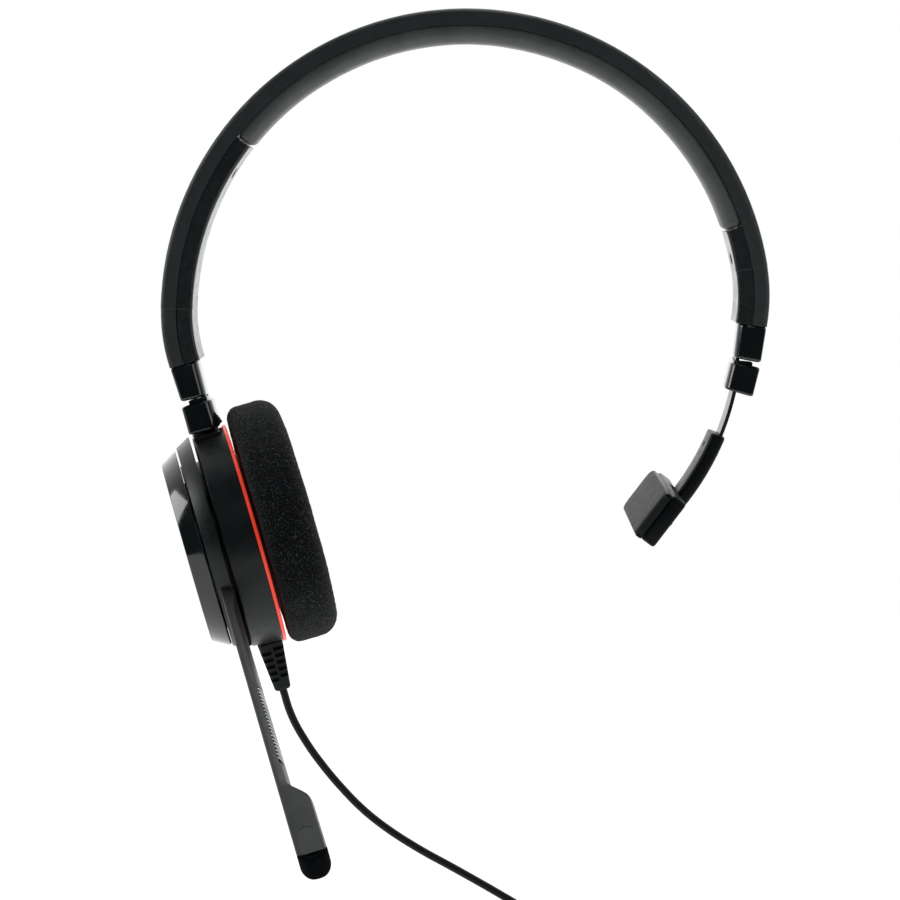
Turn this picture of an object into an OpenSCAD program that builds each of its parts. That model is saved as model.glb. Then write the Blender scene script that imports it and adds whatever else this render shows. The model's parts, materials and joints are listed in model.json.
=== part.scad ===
// Single-sided office headset: a sprung headband, an on-ear cup with a rotating
// microphone boom, a T-shaped temple rest and a cord with a USB plug.
// Row frame: +X towards the temple rest, +Y behind the wearer, +Z up.
// The origin is the centre of the ear cushion's contact face.

/* [Headband] */
// Outer radius of the headband's main arc
band_r = 75.7; // [75:0.1:77]
// Thickness of the headband, shell and lining together
band_t = 8; // [7.8:0.1:8.4]
// Width of the headband, front to back
band_w = 12.5; // [12:0.1:14]
// How far the headband leans down on the cup's side, degrees
band_lean = 4; // [3.5:0.1:4.5]
// Outer radius of the tighter arc at each end
end_r = 46; // [44:0.5:48]
// Height of the collar on each end of the headband
collar_h = 7.7; // [7:0.1:8]

/* [Sliders] */
// Travel of each slider, pulled out of the headband
slide_travel = 18; // [12:1:18]
// Height of the block on each slider
block_h = 7.6; // [7:0.1:7.8]
// Thickness of a block across the headband
block_t = 7.4; // [7:0.1:7.6]
// Thickness of the spring steel strips
strip_t = 0.9; // [0.7:0.1:1]
// Width of the spring steel strips
strip_w = 7; // [6:0.5:9]

/* [Ear cup] */
// Radius of the housing at the accent ring
cup_r = 28; // [27.5:0.1:28.5]
// Radius of the foam cushion
foam_r = 31.4; // [30:0.1:32]
// Thickness of the foam cushion
foam_t = 12; // [11:0.5:12]
// How far the cup's axis tips up, degrees
cup_lean = 14.96; // [14:0.01:16]
// How far the cup is turned on its slider, degrees
cup_swivel = 9.39; // [8:0.01:11]

/* [Microphone boom] */
// Distance from the cup's axis to the boom's tip
boom_len = 123.5; // [115:0.5:130]
// Angle of the boom, forward from straight down, degrees
boom_angle = 65; // [0:1:90]
// Thickness of the microphone capsule
capsule_t = 6.8; // [6:0.1:7.4]

/* [Temple rest] */
// Length of the crossbar, front to back
rest_len = 44; // [36:1:50]
// Height of the crossbar
rest_h = 13.1; // [12:0.1:14]

/* [Cord] */
// Diameter of the cord
cord_d = 2; // [1.8:0.1:2]

/* [Hidden] */
$fn = 64;
eps = 0.01;

// Headband frame: its arc's centre in the row frame
band_pos = [40.85, -2.8, 51.2];
seam_r = band_r - 3.95;         // where the shell meets the pad and the liners
seam_gap = 0.1;
inner_r = band_r - band_t;
main_a = 6;                     // the main arc ends this far above its centre
end_a = 13;                     // the end arc's own end, below its centre
end_lap = 1;
end_slim = 0.05;
end_cx = (band_r - end_r) * cos(main_a);
end_cz = (band_r - end_r) * sin(main_a);
pad_a0 = 14.7;                  // the soft pad's span on the main arc
pad_a1 = 137.4;
screw_a = [8.5, 144.1];         // a liner screw on each side

// Slider rails: straight lines that enter the headband's ends
rail_lean = 11.5;
rail_in = 1.9;                  // the rail lies this far inside the mid-thickness
rail_x = end_cx + (end_r - band_t / 2 - rail_in) * cos(end_a);
rail_z = end_cz - (end_r - band_t / 2 - rail_in) * sin(end_a);
collar_x = 1.7;                 // collars and blocks sit outside the rail's line
block_x = 1.6;
block_gap = 1.4;
block_top = -collar_h - 0.2 - block_gap;
block_bot = block_top - block_h;
strip_top = slide_travel + 2;
slot_t = strip_t + 0.6;
slot_w = strip_w + 0.6;

// Ear cup layers along its axis, from the contact face outward
foam_back = -foam_t;
grille_front = -12.1;
grille_back = -14.6;
ring_front = -13;
house_front = -13.85;
house_back = -21.85;
boom_front = -22.2;
boom_back = -26.4;
cap_front = -26.75;
cap_back = -30.55;
wall = 1.7;
bearing_r = 21.2;
pin_u = -17.34;                 // tilt hinge, in the cup's own frame
pin_w = 1.0;
pin_v = 24.88;
pin_r = 1;
relief_u = -17.2;               // strain relief, in the cup's own frame
relief_w = -1.6;
relief_top = -28;
relief_end = -40.6;

// Boom, along its own length
arm_out = -26.2;
arm_in = -22.9;
arm_half = 4;
tip_half = 3.2;
cap_len = 5;
capsule_start = boom_len - 27;
capsule_in = arm_out + capsule_t;

// Arc of the right strip and the arm below its block, in the row frame
arm_c = [41.87, -2.8, 46.5];
arm_r = 67.4;
arm_a0 = 8.6;
arm_sleeve_a0 = 21.5;
arm_a1 = 41.2;
rest_pin = [91.4, -2.8, 0.8];
rest_lean = 36.9;
rest_face = 7.3;                // from the hinge pin to the pad's face
pad_t = 2.1;
plate_t = 2.4;

// Cord: the surface that it comes down to, its route and its coil
ground_z = -136;
tie_t = 0.5;
coil_c = [94, -42];
coil_mid_r = 11;
coil_rows = 4;
coil_z0 = ground_z + tie_t;
ROUTE = [
    [-5.8, -2.6, -43.7], [-3.7, -2.7, -50.5], [0, -2.8, -57.5], [4.5, -2.8, -64],
    [9, -2.8, -69.5], [14.2, -2.8, -75], [19.8, -2.8, -79.7], [28.8, -2.8, -85.7],
    [38, -2.8, -90.9], [51, -2.8, -98.5], [64, -3, -106.5], [76, -4, -114.5],
    [87, -6.5, -122.5], [96, -10.5, -129.5], [102.8, -16.5, -133.8], [106.8, -24.5, -134.8],
    [108, -32, -134.5], [108, -37.5, -134.5]
];
TAIL = [
    [108, -43, -128.5], [108, -50, -128.7], [106.3, -57, -129.6], [102, -63.3, -130.9],
    [96, -67.3, -131.6], [90, -68.5, -131.75]
];
plug_y = -68.5;
plug_z = -131.75;

// Frames

module cup_frame() {
    rotate([0, -cup_lean, cup_swivel]) children();
}

// Turns a shape made along Z so that it runs along the cup's axis
module along_u() {
    rotate([0, 90, 0]) children();
}

module boom_frame() {
    cup_frame() rotate([-boom_angle, 0, 0]) children();
}

module band_frame() {
    translate(band_pos) rotate([0, -band_lean, 0]) children();
}

// side is 1 for the temple side and -1 for the cup's side; local Z runs up the rail
module rail_frame(side) {
    band_frame()
        mirror([side < 0 ? 1 : 0, 0, 0])
            translate([rail_x, 0, rail_z])
                rotate([0, rail_lean, 0]) children();
}

// Local Z runs up the crossbar's face and local X points away from the head
module rest_frame() {
    translate(rest_pin) rotate([0, rest_lean, 0]) children();
}

// Shared shapes

module rounded_rect(w, h, r) {
    square([w - 2 * r, h], center = true);
    square([w, h - 2 * r], center = true);
    for (x = [-1, 1], y = [-1, 1])
        translate([x * (w / 2 - r), y * (h / 2 - r)]) circle(r);
}

// A bar whose outline in the X-Z plane is a rounded rectangle, w by h, depth along Y
module front_bar(w, h, depth, r) {
    rotate([90, 0, 0])
        linear_extrude(depth, center = true) rounded_rect(w, h, r);
}

// Sweeps a section, drawn as radius by width, between two angles about the Y axis
module arc_sweep(a0, a1) {
    rotate([90, 0, 0]) rotate([0, 0, a0]) rotate_extrude(angle = a1 - a0, $fn = 128) children();
}

// Section of one lining layer: square at r1, with its two corners at r0 rounded
module layer_section(r0, r1, w, r) {
    side = sign(r1 - r0);
    translate([min(r0 + side * r, r1), -w / 2]) square([abs(r1 - r0) - r, w]);
    translate([min(r0, r0 + side * r), -w / 2 + r]) square([r, w - 2 * r]);
    for (y = [-1, 1])
        translate([r0 + side * r, y * (w / 2 - r)]) circle(r);
}

module shell_section(slim = 0) {
    layer_section(band_r - slim, seam_r + slim, band_w - 2 * slim, 1.3);
}

module liner_section(slim = 0) {
    layer_section(inner_r + slim, seam_r - seam_gap - slim, band_w - 0.3 - 2 * slim, 0.9);
}

// The end arcs run a little way into the main arc, so their section is a hair slimmer
module right_end() {
    translate([end_cx, 0, end_cz])
        arc_sweep(-end_a, main_a + end_lap) translate([end_r - band_r, 0]) children();
}

module left_end() {
    mirror([1, 0, 0]) right_end() children();
}

module rail_slot(side) {
    rail_frame(side)
        translate([-slot_t / 2, -slot_w / 2, -collar_h - 2])
            cube([slot_t, slot_w, collar_h + strip_top + 2.6]);
}

// Ear cup

module cup_housing() {
    color("#1d2021") cup_frame() {
        difference() {
            union() {
                along_u() rotate_extrude($fn = 128)
                    polygon([
                        [9, house_back], [cup_r - 0.9, house_back], [cup_r - 0.5, house_back + 0.4],
                        [cup_r, house_front - 0.3], [cup_r, house_front], [cup_r - wall, house_front],
                        [cup_r - wall - 0.4, house_back + 1.5], [9, house_back + 1.5]
                    ]);
                intersection() {
                    along_u() translate([0, 0, house_back + 0.1])
                        cylinder(r = cup_r - 0.7, h = house_front - house_back - 0.2);
                    translate([house_back, pin_w - 9.6, 21.4])
                        cube([grille_back - 0.05 - house_back, 19.2, 8]);
                }
            }
            translate([pin_u - 2.7, pin_w - 6.9, 22.3]) cube([5.4, 13.8, 10]);
            translate([pin_u, pin_w + 9.5, pin_v]) rotate([90, 0, 0]) cylinder(r = pin_r, h = 19);
            translate([relief_u, relief_w, -cup_r - 1]) cylinder(r = 2.3, h = 5);
            screw_holes(house_back - 1, 4);
        }
    }
}

module screw_holes(u0, h) {
    for (a = [30, 150, 270])
        rotate([a, 0, 0]) translate([u0, 0, 12]) along_u() cylinder(r = 0.9, h = h, $fn = 24);
}

module hub_disc() {
    color("#202324") cup_frame()
        difference() {
            along_u() translate([0, 0, cap_front])
                cylinder(r = bearing_r, h = house_back - cap_front, $fn = 128);
            along_u() translate([0, 0, cap_front - 1]) cylinder(r = 17, h = 4.3);
            along_u() translate([0, 0, cap_front]) cylinder(r = 9, h = 8);
            screw_holes(house_back - 3, 4);
        }
}

module outer_cap() {
    color("#141617") cup_frame() along_u()
        rotate_extrude($fn = 128)
            polygon([
                [0, cap_back], [21.4, cap_back], [23, cap_back + 0.7], [25.6, cap_front - 0.3],
                [25.6, cap_front], [16.8, cap_front], [16.8, cap_front + 2.2],
                [15.3, cap_front + 2.2], [15.3, cap_back + 1.6], [0, cap_back + 1.6]
            ]);
}

module accent_ring() {
    color("#ff4530") cup_frame() along_u()
        rotate_extrude($fn = 128)
            polygon([
                [20.5, house_front], [cup_r + 0.4, house_front], [cup_r + 0.4, ring_front - 0.2],
                [cup_r + 0.2, ring_front], [20.5, ring_front]
            ]);
}

module speaker_grille() {
    color("#17191a") cup_frame()
        difference() {
            along_u() rotate_extrude($fn = 128)
                polygon([
                    [0, grille_back], [23, grille_back], [23, house_front], [20.4, house_front],
                    [20.4, grille_front], [19, grille_front], [19, -13.4], [0, -13.4]
                ]);
            for (ring = [0:3])
                for (k = [0:max(0, 6 * ring - 1)])
                    rotate([ring == 0 ? 0 : k * 60 / ring, 0, 0])
                        translate([-15, 0, 3.6 * ring]) along_u()
                            cylinder(r = 0.8, h = 3, $fn = 16);
        }
}

module grille_felt() {
    color("#2b2d2e") cup_frame() along_u()
        translate([0, 0, -13.35]) cylinder(r = 18.8, h = 0.5);
}

module speaker_basket() {
    color("#3a3d3f") cup_frame() along_u()
        rotate_extrude()
            polygon([
                [8, -18.2], [13.4, -18.2], [14.4, -15.6], [16.2, -15.6], [16.2, -14.7],
                [14.2, -14.7], [12.4, -17.2], [8, -17.2]
            ]);
}

module speaker_magnet() {
    color("#8a8d90") cup_frame() along_u()
        translate([0, 0, -20.1]) cylinder(r = 9.5, h = 1.85);
}

module speaker_diaphragm() {
    color("#c9c2a8") cup_frame() along_u()
        rotate_extrude()
            polygon([
                [0, -15.1], [4, -15.3], [7.5, -16.2], [11, -15.4], [13.6, -15.5], [13.6, -15.3],
                [11, -15.2], [7.5, -16], [4, -15.1], [0, -14.9]
            ]);
}

module foam_cushion() {
    color("#232526") cup_frame() translate([0, 0, 0.8]) along_u()
        rotate_extrude($fn = 96) {
            translate([0, foam_back]) square([foam_r - 4.5, foam_t]);
            translate([0, foam_back + 4.5]) square([foam_r, foam_t - 9]);
            translate([foam_r - 4.5, foam_back + 4.5]) circle(4.5);
            translate([foam_r - 4.5, -4.5]) circle(4.5);
        }
}

module circuit_board() {
    color("#1e6b3a") cup_frame() {
        translate([-19.5, -8, -23]) cube([1, 16, 5.4]);
        for (w = [-5, 0.5, 4.5])
            translate([-18.6, w, -21.8]) cube([0.9, 2.6, 2.8]);
    }
}

module hub_screws() {
    color("#9a9da0") cup_frame()
        for (a = [30, 150, 270])
            rotate([a, 0, 0]) translate([house_back - 1.6, 0, 12]) along_u() {
                cylinder(r = 0.9, h = 3, $fn = 24);
                translate([0, 0, -1.1]) cylinder(r = 1.9, h = 1.1);
            }
}

module hinge_pin() {
    color("#a9acae") cup_frame()
        translate([pin_u, pin_w + 9.4, pin_v]) rotate([90, 0, 0])
            cylinder(r = pin_r, h = 18.8);
}

module strain_relief() {
    color("#1b1d1e") cup_frame() translate([relief_u, relief_w, 0]) {
        translate([0, 0, relief_end]) cylinder(r1 = 2.05, r2 = 3.1, h = relief_top - relief_end);
        translate([0, 0, relief_top - eps]) cylinder(r = 2.25, h = 3.2);
        translate([0, 0, relief_top + 2.9]) cylinder(r = 3.1, h = 1);
    }
}

// Microphone boom

module boom_ring() {
    color("#1f2223") cup_frame() along_u()
        rotate_extrude($fn = 128)
            polygon([
                [bearing_r + 0.08, boom_back], [25.8, boom_back], [26, boom_back + 0.2],
                [27, boom_front - 0.3], [26.9, boom_front], [bearing_r + 0.08, boom_front]
            ]);
}

// The arm's section: flat outside and thin at its edges, crowned inside
module arm_outline(half) {
    edge = 1.3;
    intersection() {
        translate([arm_out, -half]) square([arm_in - arm_out, 2 * half]);
        translate([arm_in - (half * half + edge * edge) / (2 * edge), 0])
            circle((half * half + edge * edge) / (2 * edge), $fn = 128);
    }
}

module boom_arm() {
    color("#464849") boom_frame()
        difference() {
            intersection() {
                translate([0, 0, -capsule_start])
                    linear_extrude(capsule_start - 17) arm_outline(5.5);
                rotate([0, 90, 0]) linear_extrude(60, center = true)
                    polygon([
                        [17, -5.5], [60, -4.3], [capsule_start + 1, -arm_half],
                        [capsule_start + 1, arm_half], [60, 4.3], [17, 5.5]
                    ]);
            }
            for (k = [0:17])
                translate([arm_in - 0.45, -6, -68 - 1.35 * k]) cube([2, 12, 0.6]);
            along_u() translate([0, 0, boom_back]) cylinder(r = 25, h = 10, $fn = 128);
        }
}

// Outline of the capsule seen from its edge, as depth by length
module capsule_outline() {
    polygon([
        [arm_out, -capsule_start], [arm_in, -capsule_start],
        [arm_in + 0.3, -capsule_start - 2.2], [arm_in + 1.4, -capsule_start - 3.8],
        [capsule_in - 1.1, -capsule_start - 5.6], [capsule_in - 0.2, -capsule_start - 7.8],
        [capsule_in, -capsule_start - 10], [capsule_in, -boom_len + cap_len],
        [arm_out, -boom_len + cap_len]
    ]);
}

module mic_capsule() {
    color("#454748") boom_frame()
        difference() {
            intersection() {
                rotate([90, 0, 0]) linear_extrude(2 * arm_half, center = true)
                    capsule_outline();
                rotate([0, 90, 0]) linear_extrude(60, center = true)
                    polygon([
                        [capsule_start, -arm_half], [boom_len - cap_len, -tip_half],
                        [boom_len - cap_len, tip_half], [capsule_start, arm_half]
                    ]);
            }
            translate([arm_out + 1.2, 1 - tip_half, -boom_len + cap_len - 1])
                cube([capsule_t - 2.4, 2 * tip_half - 2, 15]);
        }
}

module mic_cap() {
    color("#101213") boom_frame()
        difference() {
            intersection() {
                translate([arm_out, -tip_half, -boom_len])
                    cube([capsule_t, 2 * tip_half, cap_len]);
                translate([arm_out + capsule_t / 2, 10, -boom_len + 5.2]) rotate([90, 0, 0])
                    cylinder(r = 5.2, h = 20);
            }
            for (x = [-1.5, 1.5])
                translate([arm_out + capsule_t / 2 + x, 0, -boom_len - 1])
                    cylinder(r = 0.5, h = 10, $fn = 16);
        }
}

module mic_element() {
    color("#b8babb") boom_frame()
        translate([arm_out + capsule_t / 2, 0, -boom_len + cap_len + 0.4])
            cylinder(r = 2, h = 2.5);
}

// Pivot between the cup and the headband

module pivot_stem() {
    color("#2a2d2e") {
        cup_frame() translate([pin_u, pin_w, pin_v]) rotate([90, 0, 0])
            difference() {
                cylinder(r = 2.1, h = 13, center = true);
                cylinder(r = pin_r + 0.06, h = 14, center = true);
            }
        rail_frame(-1) translate([block_x, 0, 0]) {
            translate([0, 0, block_bot - 2.6]) cylinder(r = 1.6, h = 8);
            translate([0, 0, block_bot + 4.6]) cylinder(r = 2.5, h = 1);
        }
    }
}

// Left slider: block and strip

module left_block() {
    color("#0e1011") rail_frame(-1)
        difference() {
            translate([block_x, 0, block_bot + block_h / 2])
                front_bar(block_t, block_h, band_w, 1.2);
            translate([block_x, 0, block_bot - 1]) cylinder(r = 1.66, h = 6);
            translate([block_x, 0, block_bot + 4.4]) cylinder(r = 2.7, h = 1.5);
            translate([-strip_t / 2, -strip_w / 2, block_top - 1.5])
                cube([strip_t, strip_w, 3]);
        }
}

module left_strip() {
    color("#b9bcbe") rail_frame(-1)
        translate([-strip_t / 2, -strip_w / 2, block_top - 1.5])
            cube([strip_t, strip_w, strip_top - block_top + 1.5]);
}

// Headband

module headband_shell() {
    color("#262a2a") band_frame()
        difference() {
            union() {
                arc_sweep(main_a, 180 - main_a) shell_section();
                right_end() shell_section(end_slim);
                left_end() shell_section(end_slim);
            }
            arc_sweep(38, 142)
                translate([seam_r - 1, -4.6]) square([2, 9.2]);
            unband() rail_slot(1);
            unband() rail_slot(-1);
        }
}

// Undoes band_frame, so that shapes placed in the row frame can be cut in the band's
module unband() {
    rotate([0, band_lean, 0]) translate(-band_pos) children();
}

module headband_spring() {
    color("#a9adb0") band_frame()
        arc_sweep(38.2, 141.8)
            translate([seam_r + 0.05, -4.5]) square([0.8, 9]);
}

module headband_pad() {
    color("#303435") band_frame()
        arc_sweep(pad_a0, pad_a1)
            layer_section(inner_r - 0.4, seam_r - seam_gap, band_w - 0.4, 2.1);
}

module screw_pocket(a) {
    rotate([0, -a, 0]) {
        translate([inner_r - 2, 0, 0]) along_u() cylinder(r = 1.5, h = 3.4, $fn = 32);
        translate([inner_r, 0, 0]) along_u() cylinder(r = 0.8, h = 3.6, $fn = 24);
    }
}

module left_liner() {
    color("#25292a") band_frame()
        difference() {
            union() {
                arc_sweep(pad_a1 + 0.25, 180 - main_a) liner_section();
                left_end() liner_section(end_slim);
            }
            unband() rail_slot(-1);
            screw_pocket(screw_a[1]);
        }
}

module right_liner() {
    color("#25292a") band_frame()
        difference() {
            union() {
                arc_sweep(main_a, pad_a0 - 0.25) liner_section();
                right_end() liner_section(end_slim);
            }
            unband() rail_slot(1);
            screw_pocket(screw_a[0]);
        }
}

module liner_screws() {
    color("#8d9092") band_frame()
        for (a = screw_a)
            rotate([0, -a, 0]) translate([inner_r + 0.3, 0, 0]) along_u() {
                cylinder(r = 1.45, h = 1.05, $fn = 32);
                cylinder(r = 0.78, h = 3.1, $fn = 24);
            }
}

module collar(side) {
    rail_frame(side)
        difference() {
            translate([collar_x, 0, -0.2 - collar_h / 2])
                front_bar(7.7, collar_h, band_w, 1.1);
            translate([-slot_t / 2, -slot_w / 2, -collar_h - 2])
                cube([slot_t, slot_w, collar_h + 4]);
        }
}

module left_collar() {
    color("#0e1011") collar(-1);
}

module right_collar() {
    color("#0e1011") collar(1);
}

// Right slider: block, strip and the arm of the temple rest

module right_block() {
    color("#0e1011") rail_frame(1)
        difference() {
            translate([block_x, 0, block_bot + block_h / 2])
                front_bar(block_t, block_h, band_w, 1.2);
            translate([-0.7, -strip_w / 2, block_bot - 1])
                cube([2.1, strip_w, block_h + 2]);
        }
}

module right_strip() {
    color("#b9bcbe") rail_frame(1)
        translate([-strip_t / 2, -strip_w / 2, block_top - 3.5])
            cube([strip_t, strip_w, strip_top - block_top + 3.5]);
}

module arm_strip() {
    color("#b9bcbe") translate(arm_c)
        arc_sweep(-arm_a1 + 3, -arm_a0)
            translate([arm_r - strip_t / 2, -strip_w / 2]) square([strip_t, strip_w]);
}

module arm_sleeve() {
    color("#1e2122")
        difference() {
            union() {
                translate(arm_c) arc_sweep(-arm_a1, -arm_sleeve_a0)
                    translate([arm_r - 0.7, 0]) rounded_rect(3.6, 10.6, 1.2);
                translate(rest_pin) rotate([90, 0, 0])
                    cylinder(r = 2, h = 10.6, center = true);
            }
            translate(arm_c) arc_sweep(-arm_a1 + 3, -arm_a0)
                translate([arm_r - strip_t / 2, -strip_w / 2]) square([strip_t, strip_w]);
            translate(rest_pin) rotate([90, 0, 0])
                cylinder(r = pin_r + 0.06, h = 20, center = true);
        }
}

// Temple rest

module temple_plate() {
    color("#191b1c") rest_frame()
        difference() {
            union() {
                translate([-rest_face + pad_t, -rest_len / 2, -rest_h / 2])
                    cube([plate_t, rest_len, rest_h]);
                for (y = [-7.4, 5.8])
                    translate([-rest_face + pad_t + 1, y, -2.3]) cube([rest_face - pad_t - 1, 1.6, 4.6]);
                for (y = [-7.4, 5.8])
                    translate([0, y + 1.6, 0]) rotate([90, 0, 0]) cylinder(r = 2.3, h = 1.6);
            }
            rotate([90, 0, 0]) cylinder(r = pin_r, h = 30, center = true);
        }
}

module temple_pad() {
    color("#4a4c4d") rest_frame()
        translate([-rest_face, -rest_len / 2 + 0.2, -rest_h / 2 + 0.1])
            cube([pad_t, rest_len - 0.4, rest_h - 0.2]);
}

module temple_pin() {
    color("#a9acae") translate(rest_pin) rotate([90, 0, 0])
        cylinder(r = pin_r, h = 14.6, center = true);
}

// Cord

// Catmull-Rom curve through a route's points, with a new ring halfway along each piece
function spline(p, t) =
    let (n = len(p), i = min(floor(t), n - 2), f = t - i)
    let (a = p[max(i - 1, 0)], b = p[i], c = p[i + 1], d = p[min(i + 2, n - 1)])
    0.5 * (2 * b + (c - a) * f + (2 * a - 5 * b + 4 * c - d) * f * f
           + (3 * b - a - 3 * c + d) * f * f * f);
function route(p, steps) = [for (k = [0:steps * (len(p) - 1)]) spline(p, k / steps)];
function unit(v) = v / norm(v);

// Sweeps a circle along points; one fixed side direction keeps the rings from twisting
module tube(points, d, sides = 8) {
    n = len(points);
    rings = [
        for (i = [0:n - 1])
            let (t = unit(points[min(i + 1, n - 1)] - points[max(i - 1, 0)]))
            let (a = unit(cross([0.2, 0.3, 1], t)), b = cross(t, a))
            for (k = [0:sides - 1])
                points[i] + d / 2 * (cos(360 * k / sides) * a + sin(360 * k / sides) * b)
    ];
    skin = [
        for (i = [0:n - 2], k = [0:sides - 1])
            let (a = i * sides + k, b = i * sides + (k + 1) % sides)
            [a, a + sides, b + sides, b]
    ];
    ends = [[for (k = [0:sides - 1]) k], [for (k = [sides - 1:-1:0]) (n - 1) * sides + k]];
    polyhedron(rings, concat(skin, ends));
}

module cord_tube() {
    color("#1a1c1c") tube(route(ROUTE, 2), cord_d);
}

module cord_coil() {
    color("#1a1c1c") translate([coil_c[0], coil_c[1], coil_z0])
        rotate_extrude()
            translate([coil_mid_r - coil_rows * cord_d / 2, 0])
                square([coil_rows * cord_d, coil_rows * cord_d]);
}

module cord_tail() {
    color("#1a1c1c") tube(route(TAIL, 2), cord_d);
}

module cord_tie() {
    half = coil_rows * cord_d / 2;
    inner_x = coil_c[0] - coil_mid_r;
    color("#0f1010") translate([inner_x, coil_c[1], coil_z0 + half])
        difference() {
            cube([2 * half + 2.1, 5, 2 * half + 1], center = true);
            cube([2 * half + 1.1, 6, 2 * half], center = true);
        }
}

module plug_relief() {
    color("#1b1d1e") translate([80, plug_y, plug_z]) rotate([0, 90, 0])
        cylinder(r1 = 2.9, r2 = 1.7, h = 10);
}

module plug_body() {
    color("#17191a")
        difference() {
            translate([54, plug_y - 8, plug_z - 4.25]) cube([26, 16, 8.5]);
            translate([53, plug_y - 6, plug_z - 2.25]) cube([9, 12, 4.5]);
        }
}

// Shell of a standard USB-A plug, 12 by 4.5 mm
module plug_shell() {
    color("#c4c7c9") translate([35.25, plug_y, plug_z])
        difference() {
            translate([0, -6, -2.25]) cube([26.7, 12, 4.5]);
            translate([-1, -5.7, -1.95]) cube([28, 11.4, 3.9]);
            for (y = [-3.6, 1.2], z = [-3, 1.5])
                translate([5.2, y, z]) cube([2.4, 2.4, 1.6]);
        }
}

module plug_tongue() {
    color("#2b4a8a") translate([36, plug_y - 5.6, plug_z - 1.9]) cube([25.8, 11.2, 1.9]);
    color("#d8b25a")
        for (y = [-4.3, -1.55, 0.55, 3.3])
            translate([36.4, plug_y + y, plug_z - 0.1]) cube([14, 1, 0.3]);
}

cup_housing();
hub_disc();
outer_cap();
accent_ring();
speaker_grille();
grille_felt();
speaker_basket();
speaker_magnet();
speaker_diaphragm();
foam_cushion();
circuit_board();
hub_screws();
hinge_pin();
strain_relief();
boom_ring();
boom_arm();
mic_capsule();
mic_cap();
mic_element();
pivot_stem();
left_block();
left_strip();
headband_shell();
headband_spring();
headband_pad();
left_liner();
right_liner();
left_collar();
right_collar();
liner_screws();
right_block();
right_strip();
arm_strip();
arm_sleeve();
temple_plate();
temple_pad();
temple_pin();
cord_tube();
cord_coil();
cord_tail();
cord_tie();
plug_relief();
plug_body();
plug_shell();
plug_tongue();
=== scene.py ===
"""Office headset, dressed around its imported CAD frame.

Shapes are in millimetres until piece() makes them.
"""

import json
import math

import bmesh
import bpy
from mathutils import Matrix, Vector, noise


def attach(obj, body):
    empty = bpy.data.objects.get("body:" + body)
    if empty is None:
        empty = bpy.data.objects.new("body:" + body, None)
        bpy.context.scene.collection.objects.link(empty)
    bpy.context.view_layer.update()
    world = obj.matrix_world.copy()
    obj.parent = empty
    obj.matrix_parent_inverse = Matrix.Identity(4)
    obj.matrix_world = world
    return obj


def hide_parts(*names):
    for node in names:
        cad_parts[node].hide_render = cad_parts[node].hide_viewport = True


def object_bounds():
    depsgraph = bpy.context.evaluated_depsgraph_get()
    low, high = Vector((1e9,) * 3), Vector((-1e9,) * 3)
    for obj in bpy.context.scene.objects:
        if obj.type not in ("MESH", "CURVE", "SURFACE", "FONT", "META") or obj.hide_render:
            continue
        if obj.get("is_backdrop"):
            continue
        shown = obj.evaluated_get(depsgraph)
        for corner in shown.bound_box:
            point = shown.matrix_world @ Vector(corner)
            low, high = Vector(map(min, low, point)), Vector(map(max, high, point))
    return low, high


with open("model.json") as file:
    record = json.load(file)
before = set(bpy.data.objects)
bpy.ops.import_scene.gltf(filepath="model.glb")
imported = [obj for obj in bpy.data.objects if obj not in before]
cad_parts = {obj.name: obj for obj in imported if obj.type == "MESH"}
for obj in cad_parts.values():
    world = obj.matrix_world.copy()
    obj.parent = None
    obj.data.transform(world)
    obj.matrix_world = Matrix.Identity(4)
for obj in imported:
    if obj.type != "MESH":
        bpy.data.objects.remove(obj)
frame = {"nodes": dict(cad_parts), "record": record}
CAD_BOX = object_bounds()
MM = 0.001

# ---------------------------------------------------------------- frames


def turn(axis, degrees):
    return Matrix.Rotation(math.radians(degrees), 4, axis)


def shift(x, y, z):
    return Matrix.Translation((x, y, z))


ROW = Matrix.Identity(4)
# Cup: local X runs along its axis towards the head, local Z up the cup
CUP = turn("Z", 9.39) @ turn("Y", -14.96)
# Boom: local -Z runs along the arm to the microphone
BOOM = CUP @ turn("X", -65)
BAND = shift(40.85, -2.8, 51.2) @ turn("Y", -4)
REST = shift(91.4, -2.8, 0.8) @ turn("Y", 36.9)
# Headband: outer radius, thickness and width
BAND_R, BAND_T, BAND_W = 75.7, 8.0, 12.5
SEAM_R = BAND_R - 3.95
INNER_R = BAND_R - BAND_T
# Below MAIN_A degrees the band turns in on a tighter arc about END_C, as far as END_A degrees
END_R, END_A, MAIN_A = 46.0, 13.0, 6.0
END_C = Vector(
    (
        (BAND_R - END_R) * math.cos(math.radians(MAIN_A)),
        0,
        (BAND_R - END_R) * math.sin(math.radians(MAIN_A)),
    )
)
# Where the slider rails start in the band's frame, as (x, z)
RAIL_IN = END_R - BAND_T / 2 - 1.9
RAIL_Q = (
    END_C.x + RAIL_IN * math.cos(math.radians(END_A)),
    END_C.z - RAIL_IN * math.sin(math.radians(END_A)),
)
# Arc of the strip that carries the temple rest: centre and radius
ARM_C, ARM_R = Vector((41.87, -2.8, 46.5)), 67.4


def rail(side):
    """Frame of a slider rail: side is 1 at the temple and -1 at the cup; local Z runs up it."""
    flip = Matrix.Diagonal((side, 1, 1, 1))
    return BAND @ flip @ shift(RAIL_Q[0], 0, RAIL_Q[1]) @ turn("Y", 11.5)


# ---------------------------------------------------------------- materials


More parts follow.
